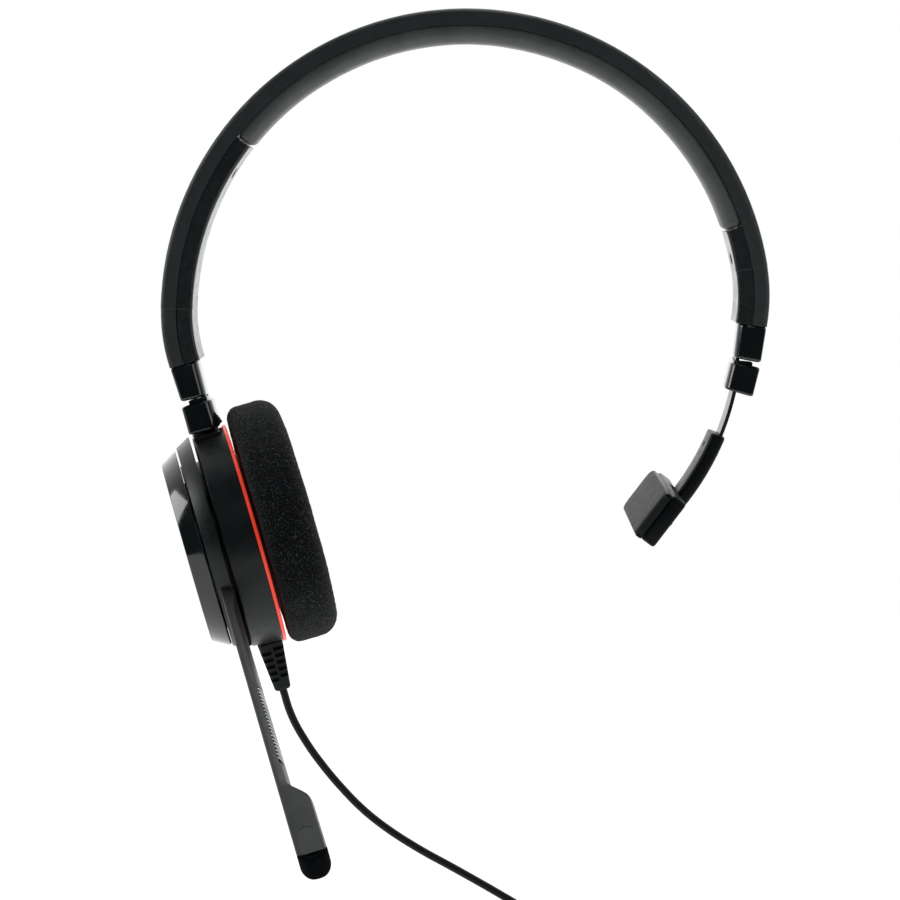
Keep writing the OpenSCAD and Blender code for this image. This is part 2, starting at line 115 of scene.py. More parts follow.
class Nodes:
    """A short way to build a node tree."""

    def __init__(self, name):
        self.mat = bpy.data.materials.new(name)
        self.mat.use_nodes = True
        self.tree = self.mat.node_tree
        self.tree.nodes.clear()
        self.out = self.add("ShaderNodeOutputMaterial")
        self.shader = self.add("ShaderNodeBsdfPrincipled")
        self.link(self.shader, "BSDF", self.out, "Surface")
        self.coords = self.add("ShaderNodeTexCoord")

    def add(self, kind, **values):
        node = self.tree.nodes.new(kind)
        for key, value in values.items():
            if key in node.inputs:
                node.inputs[key].default_value = value
            else:
                setattr(node, key, value)
        return node

    def link(self, a, out, b, into):
        self.tree.links.new(a.outputs[out], b.inputs[into])

    def space(self, scale=(1, 1, 1)):
        node = self.add("ShaderNodeMapping")
        node.inputs["Scale"].default_value = scale
        self.link(self.coords, "Object", node, "Vector")
        return node

    def noise(self, scale, detail=3.0, rough=0.55, stretch=(1, 1, 1)):
        node = self.add("ShaderNodeTexNoise")
        node.inputs["Scale"].default_value = scale
        node.inputs["Detail"].default_value = detail
        node.inputs["Roughness"].default_value = rough
        self.link(self.space(stretch), "Vector", node, "Vector")
        return node

    def cells(self, scale, feature="F1", randomness=1.0):
        node = self.add("ShaderNodeTexVoronoi")
        node.feature = feature
        node.inputs["Scale"].default_value = scale
        node.inputs["Randomness"].default_value = randomness
        self.link(self.space(), "Vector", node, "Vector")
        return node

    def ramp(self, source, out, stops):
        node = self.add("ShaderNodeValToRGB")
        ramp = node.color_ramp
        while len(ramp.elements) < len(stops):
            ramp.elements.new(0.5)
        for element, (place, colour) in zip(ramp.elements, stops):
            element.position = place
            element.color = (*colour, 1) if len(colour) == 3 else colour
        self.link(source, out, node, "Fac")
        return node

    def spread(self, source, out, low, high, start=0.3, end=0.7):
        node = self.add("ShaderNodeMapRange")
        for key, value in (
            ("From Min", start),
            ("From Max", end),
            ("To Min", low),
            ("To Max", high),
        ):
            node.inputs[key].default_value = value
        self.link(source, out, node, "Value")
        return node

    def bump(self, source, out, depth, strength=1.0, after=None):
        node = self.add("ShaderNodeBump")
        node.inputs["Strength"].default_value = strength
        node.inputs["Distance"].default_value = depth * MM
        self.link(source, out, node, "Height")
        if after:
            self.link(after, "Normal", node, "Normal")
        return node

    def round_edges(self, radius):
        node = self.add("ShaderNodeBevel", samples=4)
        node.inputs["Radius"].default_value = radius * MM
        return node

    def finish(self, **sockets):
        for key, value in sockets.items():
            self.shader.inputs[key.replace("_", " ")].default_value = value
        return self.mat


def tint(colour, gain):
    return tuple(min(1.0, c * gain) for c in colour)


def moulded(name, colour, rough, grain=0.16, depth=0.012, edge=0.25, gain=1.35, **sockets):
    """Moulded plastic or rubber: spark-eroded grain, slow colour drift and worn, uneven gloss."""
    n = Nodes(name)
    fine = n.noise(1000 / grain, 2.0)
    broad = n.noise(90, 4.0, 0.6)
    worn = n.noise(420, 5.0, 0.65)
    drift = n.ramp(broad, "Fac", [(0.3, tint(colour, 0.82)), (0.7, tint(colour, gain))])
    n.link(drift, "Color", n.shader, "Base Color")
    gloss = n.spread(worn, "Fac", rough - 0.06, rough + 0.07)
    n.link(gloss, "Result", n.shader, "Roughness")
    soft = n.round_edges(edge) if edge else None
    bumps = n.bump(fine, "Fac", depth, after=soft)
    n.link(bumps, "Normal", n.shader, "Normal")
    return n.finish(**sockets)


def polished(name, colour, rough=0.12, edge=0.3, **sockets):
    """Gloss plastic: very faint ripple, hairline scuffs and finger haze in the gloss."""
    n = Nodes(name)
    haze = n.noise(160, 5.0, 0.6)
    scuff = n.noise(900, 2.0, 0.5, (1, 1, 0.08))
    gloss = n.spread(haze, "Fac", rough - 0.03, rough + 0.08)
    n.link(gloss, "Result", n.shader, "Roughness")
    tone = n.ramp(haze, "Fac", [(0.35, tint(colour, 0.85)), (0.7, tint(colour, 1.2))])
    n.link(tone, "Color", n.shader, "Base Color")
    soft = n.round_edges(edge)
    bumps = n.bump(scuff, "Fac", 0.0012, 0.6, after=soft)
    n.link(bumps, "Normal", n.shader, "Normal")
    return n.finish(**sockets)


def metal(name, colour, rough, stretch=(1, 1, 0.03), depth=0.004, edge=0.1):
    """Rolled or brushed metal: long fine lines in the gloss and bump, with dull patches."""
    n = Nodes(name)
    lines = n.noise(9000, 2.0, 0.5, stretch)
    patch = n.noise(260, 4.0)
    tone = n.ramp(patch, "Fac", [(0.3, tint(colour, 0.8)), (0.7, tint(colour, 1.08))])
    n.link(tone, "Color", n.shader, "Base Color")
    gloss = n.spread(lines, "Fac", rough - 0.06, rough + 0.1)
    n.link(gloss, "Result", n.shader, "Roughness")
    soft = n.round_edges(edge)
    bumps = n.bump(lines, "Fac", depth, after=soft)
    n.link(bumps, "Normal", n.shader, "Normal")
    return n.finish(Metallic=1.0)


def open_cell_foam(name):
    """Reticulated foam: dark pores between lighter struts, at two sizes, with a soft nap. The dark
    pores are painted shade and the lighter struts painted light, over the foam's own near-black.
    """
    n = Nodes(name)
    pores = n.cells(2900)
    small = n.cells(6200)
    drift = n.noise(70, 3.0)
    # Pore distance sets the base colour: painted shade in the pores, painted light on the strut
    # tops.
    tone = n.ramp(
        pores,
        "Distance",
        [
            (0.2, (0.0004, 0.0006, 0.0007)),
            (0.48, (0.0022, 0.003, 0.0034)),
            (0.66, (0.01, 0.012, 0.013)),
            (0.84, (0.052, 0.058, 0.062)),
        ],
    )
    shade = n.ramp(drift, "Fac", [(0.3, (0.62, 0.62, 0.64)), (0.7, (1.0, 1.0, 1.0))])
    mix = n.add("ShaderNodeMix", data_type="RGBA", blend_type="MULTIPLY")
    mix.inputs[0].default_value = 1.0
    n.tree.links.new(tone.outputs["Color"], mix.inputs[6])
    n.tree.links.new(shade.outputs["Color"], mix.inputs[7])
    n.tree.links.new(mix.outputs[2], n.shader.inputs["Base Color"])
    deep = n.bump(pores, "Distance", 0.22, 0.9)
    both = n.bump(small, "Distance", 0.07, 0.7, after=deep)
    n.link(both, "Normal", n.shader, "Normal")
    return n.finish(
        Roughness=0.95, Sheen_Weight=0.05, Sheen_Roughness=0.5, Specular_IOR_Level=0.12
    )


BLACK = (0.0032, 0.005, 0.0056)
MATS = {
    "band_black": moulded("soft_touch_black", (0.0125, 0.0165, 0.0168), 0.52, 0.2, 0.012),
    "satin_black": moulded(
        "satin_black", BLACK, 0.36, 0.14, 0.004, edge=0.3, Specular_IOR_Level=0.3
    ),
    "liner_black": moulded("liner_black", (0.012, 0.0145, 0.015), 0.28, 0.14, 0.006),
    "gloss_black": polished("gloss_black", (0.0058, 0.0078, 0.0084), 0.09, Coat_Weight=0.25),
    "accent_red": moulded(
        "accent_red",
        (0.95, 0.06, 0.028),
        0.34,
        0.2,
        0.003,
        edge=0.12,
        gain=1.05,
        # Emission 0.3 paints a glow on the red ring, which is no lamp.
        Emission_Color=(1.0, 0.06, 0.03, 1.0),
        Emission_Strength=0.3,
    ),
    "grille_black": moulded("grille_black", (0.008, 0.008, 0.009), 0.6, 0.12, 0.01, edge=0.1),
    "felt": moulded("felt", (0.02, 0.02, 0.021), 0.95, 0.1, 0.06, edge=0, Sheen_Weight=0.4),
    "dark_metal": metal("dark_metal", (0.08, 0.08, 0.085), 0.45),
    "steel": metal("blued_steel", (0.05, 0.055, 0.06), 0.3),
    "film": moulded("film", (0.5, 0.47, 0.36), 0.3, 0.4, 0.004, edge=0),
    "foam": open_cell_foam("ear_foam"),
    "board": polished("solder_mask", (0.012, 0.11, 0.04), 0.25, 0.1),
    "boom_grey": moulded(
        "boom_grey", (0.0105, 0.0125, 0.013), 0.42, 0.16, 0.008, edge=0.2, Specular_IOR_Level=0.38
    ),
    # The ribs' light grey is a painted highlight; the ribs themselves are the boom's dark grey.
    "rib_painted_highlight": moulded("rib_painted_highlight", (0.62, 0.63, 0.63), 0.3, 0.16, 0.004, edge=0),
    "windscreen": moulded(
        "windscreen", (0.0008, 0.0012, 0.0016), 0.9, 0.3, 0.02, edge=0.2, Specular_IOR_Level=0.06
    ),
    "mic_metal": metal("mic_metal", (0.6, 0.6, 0.6), 0.3),
    "pad_rubber": moulded(
        "headband_cushion", (0.062, 0.066, 0.067), 0.55, 0.35, 0.03, edge=0, Sheen_Weight=0.15
    ),
    "temple_rubber": moulded(
        "temple_rubber", (0.0065, 0.0078, 0.0082), 0.62, 0.28, 0.012, edge=0, Specular_IOR_Level=0.2
    ),
    "sleeve_rubber": moulded(
        "sleeve_rubber", (0.0012, 0.0024, 0.003), 0.42, 0.12, 0.0012, Specular_IOR_Level=0.14
    ),
    "cord_rubber": moulded(
        "cord_rubber", (0.0024, 0.0038, 0.0042), 0.42, 0.25, 0.006, edge=0, Specular_IOR_Level=0.2
    ),
    "plug_black": moulded("plug_black", (0.0105, 0.0115, 0.012), 0.42, 0.2, 0.01, edge=0.2),
    "plug_metal": metal("nickel", (0.4, 0.4, 0.39), 0.24, depth=0.002),
    "tongue": polished("tongue", (0.02, 0.06, 0.24), 0.3, 0.1),
}

# ---------------------------------------------------------------- mesh helpers


def piece(name, bm, place, body, slot, replaces=(), smooth=42.0, material=None):
    """Turns a bmesh in a local frame, in millimetres, into a piece of the headset."""
    bmesh.ops.transform(bm, matrix=Matrix.Scale(MM, 4) @ place, verts=bm.verts)
    bmesh.ops.recalc_face_normals(bm, faces=bm.faces)
    mesh = bpy.data.meshes.new(name)
    bm.to_mesh(mesh)
    bm.free()
    obj = bpy.data.objects.new(name, mesh)
    bpy.context.scene.collection.objects.link(obj)
    for face in mesh.polygons:
        face.use_smooth = True
    if smooth < 180:
        mesh.set_sharp_from_angle(angle=math.radians(smooth))
    mesh.materials.append(MATS[material or slot])
    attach(obj, body)
    if replaces:
        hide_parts(*replaces)
    return obj


def rounded(points, radii, steps=6):
    """A closed outline with its corners rounded; radii is one number, or one for each corner."""
    count = len(points)
    if not hasattr(radii, "__len__"):
        radii = [radii] * count
    path = []
    for i, (corner, radius) in enumerate(zip(points, radii)):
        here = Vector(corner)
        to_last = (Vector(points[i - 1]) - here).normalized()
        to_next = (Vector(points[(i + 1) % count]) - here).normalized()
        if radius <= 0:
            path.append(tuple(here))
            continue
        half = to_last.angle(to_next) / 2
        reach = radius / math.tan(half)
        centre = here + (to_last + to_next).normalized() * (radius / math.sin(half))
        a = here + to_last * reach - centre
        b = here + to_next * reach - centre
        start = math.atan2(a.y, a.x)
        swing = (math.atan2(b.y, b.x) - start + math.pi) % (2 * math.pi) - math.pi
        for k in range(steps + 1):
            at = start + swing * k / steps
            path.append((centre.x + radius * math.cos(at), centre.y + radius * math.sin(at)))
    return path


def dense(path, steps, extra):
    """Adds points along the straight runs between the corner arcs that rounded() made."""
    filled = []
    for i, here in enumerate(path):
        filled.append(here)
        if i % (steps + 1) == steps:
            after = path[(i + 1) % len(path)]
            for k in range(1, extra + 1):
                t = k / (extra + 1)
                filled.append(
                    (here[0] + (after[0] - here[0]) * t, here[1] + (after[1] - here[1]) * t)
                )
    return filled


def loft(rings, closed=False):
    """Joins rings of points, each with the same number, and caps both ends unless closed."""
    bm = bmesh.new()
    made = [[bm.verts.new(p) for p in ring] for ring in rings]
    pairs = list(zip(made, made[1:]))
    if closed:
        pairs.append((made[-1], made[0]))
    for low, high in pairs:
        count = len(low)
        for k in range(count):
            corners = (low[k], low[(k + 1) % count], high[(k + 1) % count], high[k])
            bm.faces.new(corners)
    if not closed:
        bm.faces.new(list(reversed(made[0])))
        bm.faces.new(made[-1])
    return bm


def lathe(outline, steps=160):
    """Turns a closed outline of (x, radius) points about the X axis."""
    rings = []
    for k in range(steps):
        a = 2 * math.pi * k / steps
        rings.append([(x, r * math.cos(a), r * math.sin(a)) for x, r in outline])
    bm = loft(rings, closed=True)
    bmesh.ops.remove_doubles(bm, verts=bm.verts, dist=1e-5)
    bmesh.ops.dissolve_degenerate(bm, edges=bm.edges, dist=1e-6)
    return bm


def box(size, centre=(0, 0, 0), radius=0.0, segments=4):
    """A box with every edge rounded."""
    bm = bmesh.new()
    bmesh.ops.create_cube(bm, size=1)
    bmesh.ops.scale(bm, vec=size, verts=bm.verts)
    if radius:
        bmesh.ops.bevel(
            bm,
            geom=bm.edges[:],
            offset=radius,
            segments=segments,
            profile=0.5,
            affect="EDGES",
        )
    bmesh.ops.translate(bm, vec=centre, verts=bm.verts)
    return bm


def tube(radius, length, place=ROW, steps=32, radius_2=None):
    """A capped cylinder or cone along local Z, centred on the origin."""
    bm = bmesh.new()
    bmesh.ops.create_cone(
        bm,
        cap_ends=True,
        segments=steps,
        radius1=radius,
        radius2=radius if radius_2 is None else radius_2,
        depth=length,
        matrix=place,
    )
    return bm


def merged(*parts):
    """Puts several bmeshes into one, without joining their surfaces."""
    whole = bmesh.new()
    for part in parts:
        mesh = bpy.data.meshes.new("part")
        part.to_mesh(mesh)
        part.free()
        whole.from_mesh(mesh)
        bpy.data.meshes.remove(mesh)
    return whole


def carved(solid, *cutters, keep="DIFFERENCE"):
    """Cuts closed bmeshes out of another, exactly."""
    objects = []
    for part in (solid, *cutters):
        bmesh.ops.recalc_face_normals(part, faces=part.faces)
        mesh = bpy.data.meshes.new("carving")
        part.to_mesh(mesh)
        part.free()
        obj = bpy.data.objects.new("carving", mesh)
        bpy.context.scene.collection.objects.link(obj)
        objects.append(obj)
    for cutter in objects[1:]:
        cut = objects[0].modifiers.new("cut", "BOOLEAN")
        cut.object = cutter
        cut.operation = keep
        cut.solver = "EXACT"
    bpy.context.view_layer.update()
    seen = objects[0].evaluated_get(bpy.context.evaluated_depsgraph_get())
    result = bmesh.new()
    result.from_mesh(seen.to_mesh())
    seen.to_mesh_clear()
    for obj in objects:
        mesh = obj.data
        bpy.data.objects.remove(obj)
        bpy.data.meshes.remove(mesh)
    return result


def arc_point(radius, degrees, y, centre=(0, 0, 0)):
    a = math.radians(degrees)
    return (centre[0] + radius * math.cos(a), y, centre[2] + radius * math.sin(a))


def arc_loft(section, start, end, steps, centre=(0, 0, 0), ease=0.0, middle=0.0):
    """Sweeps a (radius, y) section about the Y axis. Over the last ease millimetres at each end it
    shrinks towards the radius middle in a quarter circle, which rounds the end."""
    span = abs(math.radians(end - start)) * max(middle, 1)
    stops = [k / steps for k in range(steps + 1)]
    if ease:
        part = ease / span
        turns = [1 - math.cos(math.pi / 2 * k / 6) for k in range(7)]
        stops = [part * t for t in turns]
        stops += [part + (1 - 2 * part) * k / steps for k in range(1, steps)]
        stops += [1 - part * t for t in reversed(turns)]
    rings = []
    for t in stops:
        shrink = 0.0
        if ease:
            edge = max(0.0, 1 - min(t, 1 - t) * span / ease)
            shrink = ease * (1 - math.sqrt(max(0.0, 1 - edge * edge)))
        ring = []
        for r, y in section:
            far = max(abs(r - middle), abs(y), 1e-6)
            pull = max(0.0, 1 - shrink / far)
            ring.append(
                arc_point(
                    middle + (r - middle) * pull, start + (end - start) * t, y * pull, centre
                )
            )
        rings.append(ring)
    return loft(rings)


def smoothstep(low, high, x):
    t = min(1.0, max(0.0, (x - low) / (high - low)))
    return t * t * (3 - 2 * t)


# ---------------------------------------------------------------- camera

cam_data = bpy.data.cameras.new("camera")
cam_data.sensor_width = 36.0
cam_data.lens = 89.6
cam_data.clip_start = 0.01
camera = bpy.data.objects.new("camera", cam_data)
bpy.context.scene.collection.objects.link(camera)
camera.location = (0.0419, -0.5628, 0.0878)
VIEW = Vector((-0.00879, 0.99224, -0.12403))
camera.rotation_euler = VIEW.to_track_quat("-Z", "Y").to_euler()
bpy.context.scene.camera = camera

# ---------------------------------------------------------------- cord

CORD_D = 2.0
GROUND_Z = -136.0
PLUG_Y, PLUG_Z = -68.5, -131.75
ROUTE = [
    (-5.8, -2.6, -43.7),
    (-3.7, -2.7, -50.5),
    (0, -2.8, -57.5),
    (4.5, -2.8, -64),
    (9, -2.8, -69.5),
    (14.2, -2.8, -75),
    (19.8, -2.8, -79.7),
    (28.8, -2.8, -85.7),
    (38, -2.8, -90.9),
    (51, -2.8, -98.5),
    (64, -3, -106.5),
    (76, -4, -114.5),
    (87, -6.5, -122.5),
    (96, -10.5, -129.5),
    (102.8, -16.5, -133.8),
    (106.8, -24.5, -134.8),
    (108, -32, -134.5),
    (108, -37.5, -134.5),
]
TAIL = [
    (108, -43, -128.5),
    (108, -50, -128.7),
    (106.3, -57, -129.6),
    (102, -63.3, -130.9),
    (96, -67.3, -131.6),
    (90, PLUG_Y, PLUG_Z),
]
COIL_X, COIL_Y = 94.0, -42.0
COIL_RADII = (14.0, 12.0, 10.0, 8.0)
COIL_LEVELS = (-134.5, -132.5, -130.5, -128.5)
TURN_STEPS = 24


def coil_points():
    """Sixteen turns, wound in and out by layers, from the lowest layer to the top one."""
    turns = []
    for level, height in enumerate(COIL_LEVELS):
        radii = COIL_RADII if level % 2 == 0 else tuple(reversed(COIL_RADII))
        turns += [(radius, height) for radius in radii]
    points = []
    for i, (radius, height) in enumerate(turns):
        next_radius, next_height = turns[min(i + 1, len(turns) - 1)]
        for k in range(TURN_STEPS):
            part = k / TURN_STEPS
            move = smoothstep(0.6, 1.0, part)
            r = radius + (next_radius - radius) * move
            z = height + (next_height - height) * move
            a = -2 * math.pi * part
            points.append((COIL_X + r * math.cos(a), COIL_Y + r * math.sin(a), z))
    return points


def cord_curve(name, points, body="ear_cup"):
    data = bpy.data.curves.new(name, "CURVE")
    data.dimensions = "3D"
    data.resolution_u = 4
    data.bevel_depth = CORD_D / 2 * MM
    data.bevel_resolution = 5
    data.use_fill_caps = True
    spline = data.splines.new("BEZIER")
    spline.bezier_points.add(len(points) - 1)
    for knot, p in zip(spline.bezier_points, points):
        knot.co = Vector(p) * MM
        knot.handle_left_type = knot.handle_right_type = "AUTO"
    data.materials.append(MATS["cord_rubber"])
    obj = bpy.data.objects.new(name, data)
    bpy.context.scene.collection.objects.link(obj)
    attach(obj, body)
    return obj


cord_points = ROUTE + coil_points()[2:] + TAIL
cord = cord_curve("headset_cord", cord_points)
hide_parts("cord_tube", "cord_coil", "cord_tail")

# ---------------------------------------------------------------- ear cup

FOAM_R = 30.95


def foam_cushion():
    """A moulded foam disc: round shoulders, a slightly dished face and an uneven cut surface."""
    outline = [(-12.0, 0.0)]
    outline += rounded(
        [(-12.0, 12.0), (-12.0, FOAM_R - 0.15), (0.9, FOAM_R + 0.05), (0.9, 12.0)],
        [0, 2.8, 5.0, 0],
        12,
    )[:-1]
    face = [24.0, 22.0, 20.0, 17.0, 14.0, 11.0, 8.0, 5.0, 2.5, 0.0]
    for r in face:
        dish = 0.9 * (1 - smoothstep(4.0, 25.0, r))
        outline.append((0.9 - dish, r))
    filled = []
    for (x0, r0), (x1, r1) in zip(outline, outline[1:]):
        steps = max(1, int(math.hypot(x1 - x0, r1 - r0) / 0.9))
        filled += [(x0 + (x1 - x0) * k / steps, r0 + (r1 - r0) * k / steps) for k in range(steps)]
    filled.append(outline[-1])
    bm = lathe(filled, 220)
    bm.normal_update()
    moves = []
    for v in bm.verts:
        swell = noise.noise(v.co * 0.09) * 0.16
        cell = noise.noise(v.co * 1.1) * 0.11 + noise.noise(v.co * 2.3 + Vector((9, 3, 1))) * 0.06
        moves.append((v, v.normal * (swell + cell - 0.05)))
    for v, move in moves:
        v.co += move
    bmesh.ops.translate(bm, vec=(0, 0, 1.15), verts=bm.verts)
    obj = piece("ear_cushion", bm, CUP, "ear_cup", "foam", ["foam_cushion"], 180)
    return obj


def outer_cap():
    """Gloss cap: a shallow domed face inside a bevelled rim."""
    outline = rounded(
        [
            (-31.3, 0.0),
            (-31.15, 23.2),
            (-26.85, 25.75),
            (-26.85, 16.8),
            (-24.6, 16.8),
            (-24.6, 15.3),
            (-29.0, 15.3),
            (-29.0, 0.0),
        ],
        [0, 0.35, 0.12, 0.1, 0.1, 0.1, 0.4, 0],
        5,
    )
    return piece("outer_cap_shell", lathe(outline), CUP, "ear_cup", "gloss_black", ["outer_cap"])


def groove_seals():
    """Thin lips that close the lower part of the two grooves beside the turning ring."""
    parts = []
    for low, high, outer in ((-26.83, -26.47, 25.3), (-22.55, -21.9, 27.2)):
        section = [(low, 20.9), (high, 20.9), (high, outer), (low, outer)]
        rings = []
        for k in range(37):
            a = math.radians(-90 - 54 + 3 * k)
            rings.append([(x, r * math.cos(a), r * math.sin(a)) for x, r in section])
        parts.append(loft(rings))
    # The lips take the near-black, barely reflective windscreen finish: painted shade in the
    # grooves.
    return piece(
        "groove_seals", merged(*parts), CUP, "ear_cup", "satin_black", (), 30, "windscreen"
    )


def cup_saddle():
    """A raised pad on the housing under the slider block, pierced for the pivot stem."""
    section = [(-21.6, 27.6), (-21.6, 28.65), (-14.8, 28.65), (-14.8, 27.6)]
    shell = lathe(rounded(section, 0.3, 3), 220)
    keep = box((9, 13.6, 12), (-18.2, 1.0, 28), 1.0, 4)
    pad = carved(shell, keep, keep="INTERSECT")
    pad = carved(pad, tube(2.7, 8, shift(-17.34, 1.0, 28)))
    return piece("cup_saddle", pad, CUP, "ear_cup", "satin_black", smooth=40)


def strain_relief():
    """A moulded relief cut with staggered slots."""
    top, bottom = -28.0, -40.6
    length = top - bottom
    steps = 40
    rings = []
    for k in range(steps + 1):
        t = k / steps
        half_w = 3.25 - 1.2 * t
        half_d = 2.7 - 0.75 * t
        corner = 1.25 - 0.35 * t
        if t > 0.965:
            half_w -= 0.3 * (t - 0.965) / 0.035
            half_d -= 0.3 * (t - 0.965) / 0.035
        square = [(half_w, half_d), (-half_w, half_d), (-half_w, -half_d), (half_w, -half_d)]
        ring = rounded(square, corner, 6)
        rings.append([(x, y, top - length * t) for x, y in ring])
    body = loft(rings)
    cutters = []
    for side in (-1, 1):
        for k in range(5):
            z = top - 2.2 - 1.8 * k + (0.75 if side > 0 else 0.0)
            t = (top - z) / length
            half_w = 3.25 - 1.2 * t
            for face in (-1, 1):
                cutters.append(
                    box(
                        (half_w * 1.1, 3.0, 1.1),
                        (side * half_w * 0.66, face * (2.95 - 0.75 * t), z),
                        0.22,
                        2,
                    )
                )
    solid = carved(body, *cutters)
    collar = tube(2.25, 4.2, shift(0, 0, -26.1))
    place = CUP @ shift(-17.2, -1.6, 0)
    return piece(
        "strain_relief_boot",
        merged(solid, collar),
        place,
        "ear_cup",
        "cord_rubber",
        ["strain_relief"],
        38,
    )


foam_cushion()
outer_cap()
groove_seals()
cup_saddle()
relief = strain_relief()

# ---------------------------------------------------------------- boom

# Depths of the boom's faces along the cup's axis: outside, arm's inside, microphone's inside
ARM_OUT, ARM_IN, CAP_IN = -25.7, -22.6, -19.1
RIBS_FROM, RIB_PITCH, RIB_COUNT = 66.2, 1.3, 20


def arm_half(at):
    """Half the arm's width at a distance along it."""
    knots = [(17, 5.5), (60, 4.3), (96.5, 3.95), (110, 3.7), (118, 3.25), (123.5, 3.0)]
    for (a, x), (b, y) in zip(knots, knots[1:]):
        if at <= b:
            return x + (y - x) * max(0.0, (at - a) / (b - a))
    return knots[-1][1]


def arm_ring(at, shrink=0.0):
    """Section of the boom: flat outside, a thin edge, and a crowned inside."""
    half = arm_half(at) - shrink
    grow = smoothstep(98.2, 106.2, at)
    root = 1 - smoothstep(25.5, 36.0, at)
    edge = ARM_OUT + 2.0 + (CAP_IN - 0.45 - ARM_OUT - 2.0) * grow + 1.4 * root
    crown = ARM_IN + (CAP_IN - ARM_IN) * grow - 0.3 * root
    out = ARM_OUT + shrink
    ring = []
    corner = 0.45
    for k in range(5):
        a = math.pi / 2 * k / 4
        ring.append((out + corner - corner * math.cos(a), -half + corner - corner * math.sin(a)))
    for k in range(25):
        s = -1 + 2 * k / 24
        s = math.copysign(1 - (1 - abs(s)) ** 1.35, s)
        bulge = (1 - abs(s) ** 2.4) ** 0.75
        ring.append((edge + max(crown - edge, 0.0) * bulge - shrink, half * s))
    for k in range(5):
        a = math.pi / 2 * k / 4
        ring.append((out + corner - corner * math.sin(a), half - corner + corner * math.cos(a)))
    return [(x, y, -at) for x, y in ring]


def plan_end(at_u):
    """How far the capsule's rounded end lies short of its tip, at a depth through the boom."""
    middle = (ARM_OUT + CAP_IN) / 2
    radius = 3.81
    return radius - math.sqrt(max(0.0, radius**2 - (at_u - middle) ** 2))


def round_under(ring, radius):
    """Rounds the two lower corners of a boom section."""
    if radius <= 0.5:
        return ring
    low, high = min(p[0] for p in ring), max(p[0] for p in ring)
    bottom = max(p[1] for p in ring)
    path = []
    for x, y, z in ring:
        across = max(low + radius - x, x - (high - radius), 0.0)
        down = max(y - (bottom - radius), 0.0)
        far = math.hypot(across, down)
        if across > 0 and down > 0 and far > radius:
            side = 1 if x > (low + high) / 2 else -1
            pull = radius / far
            x -= side * across * (1 - pull)
            y -= down * (1 - pull)
        path.append((x, y, z))
    return path


def boom_body():
    """Arm and microphone housing, with a rounded end and a shallow arch cut in the top edge."""
    stops = [22.0, 24.0, 25.0] + [25.5 + 1.5 * k for k in range(7)]
    stops += [38 + 3.0 * k for k in range(20)] + [97.0]
    stops += [98 + 0.5 * k for k in range(20)] + [109, 111, 113.2]
    stops += [114.5, 116, 117.5, 119, 120.5]
    rings = [round_under(arm_ring(s), 2.2 * smoothstep(106, 119, s)) for s in stops]
    last = round_under(arm_ring(121.5, 0.03), 2.2)
    rings.append([(x, y, -(123.1 - plan_end(x))) for x, y, _ in last])
    arch = [(-1.75, -124.5), (1.75, -124.5), (1.75, -115.2), (1.3, -114.5), (0.6, -114.15)]
    arch += [(-0.6, -114.15), (-1.3, -114.5), (-1.75, -115.2)]
    levels = []
    for deep in (-2.0, 0.06):
        levels.append([(-22.45 + x, deep - arm_half(-z), z) for x, z in arch])
    hub_cut = lathe([(-27.5, 0), (-27.5, 25.6), (-15, 25.6), (-15, 0)], 128)
    bmesh.ops.transform(hub_cut, matrix=turn("X", 65), verts=hub_cut.verts)
    body = carved(loft(rings), hub_cut, loft(levels))
    return piece("boom_body", body, BOOM, "boom", "boom_grey", ["boom_arm", "mic_capsule"], 45)


def tip_ring(at, shrink):
    """Outline of the microphone's end: square along the top edge and round underneath."""
    half = arm_half(122)
    low, high = ARM_OUT + shrink, CAP_IN - shrink
    top, bottom = -half + shrink, half + 0.2 - shrink
    corners = [(low, top), (high, top), (high, bottom), (low, bottom)]
    small, large = max(0.08, 0.45 - shrink), max(0.12, 2.1 - shrink)
    ring = dense(rounded(corners, [small, small, large, large], 8), 8, 9)
    return [(x, y, -(at - plan_end(x))) for x, y in ring]


def windscreen():
    """Black foam end cap over the microphone."""
    levels = [(122.5, 0.3), (123.15, 0.0), (123.4, 0.06), (123.6, 0.28), (123.68, 0.7)]
    levels += [(123.72, 1.3), (123.74, 1.9), (123.75, 2.4)]
    rings = [tip_ring(at, shrink) for at, shrink in levels]
    return piece("mic_windscreen", loft(rings), BOOM, "boom", "windscreen", ["mic_cap"], 50)


def arm_inside(y, half):
    """Depth of the arm's crowned inside face at a place across it."""
    bulge = (1 - abs(y / half) ** 2.4) ** 0.75
    return ARM_OUT + 2.0 + (ARM_IN - ARM_OUT - 2.0) * bulge


def rib_shade_strip():
    """Dark strip that the grip ribs stand on: painted shade over the grip zone, in the near-black
    windscreen finish.
    """
    rings = []
    for k in range(28):
        at = RIBS_FROM - 0.8 + k
        half = arm_half(at)
        line = [-half * (0.99 - 0.41 * step / 8) for step in range(9)]
        ring = [(arm_inside(y, half) + 0.06, y, -at) for y in line]
        ring += [(arm_inside(y, half) - 0.4, y, -at) for y in reversed(line)]
        rings.append(ring)
    return piece("boom_rib_shade_strip", loft(rings), BOOM, "boom", "boom_grey", (), 50, "windscreen")


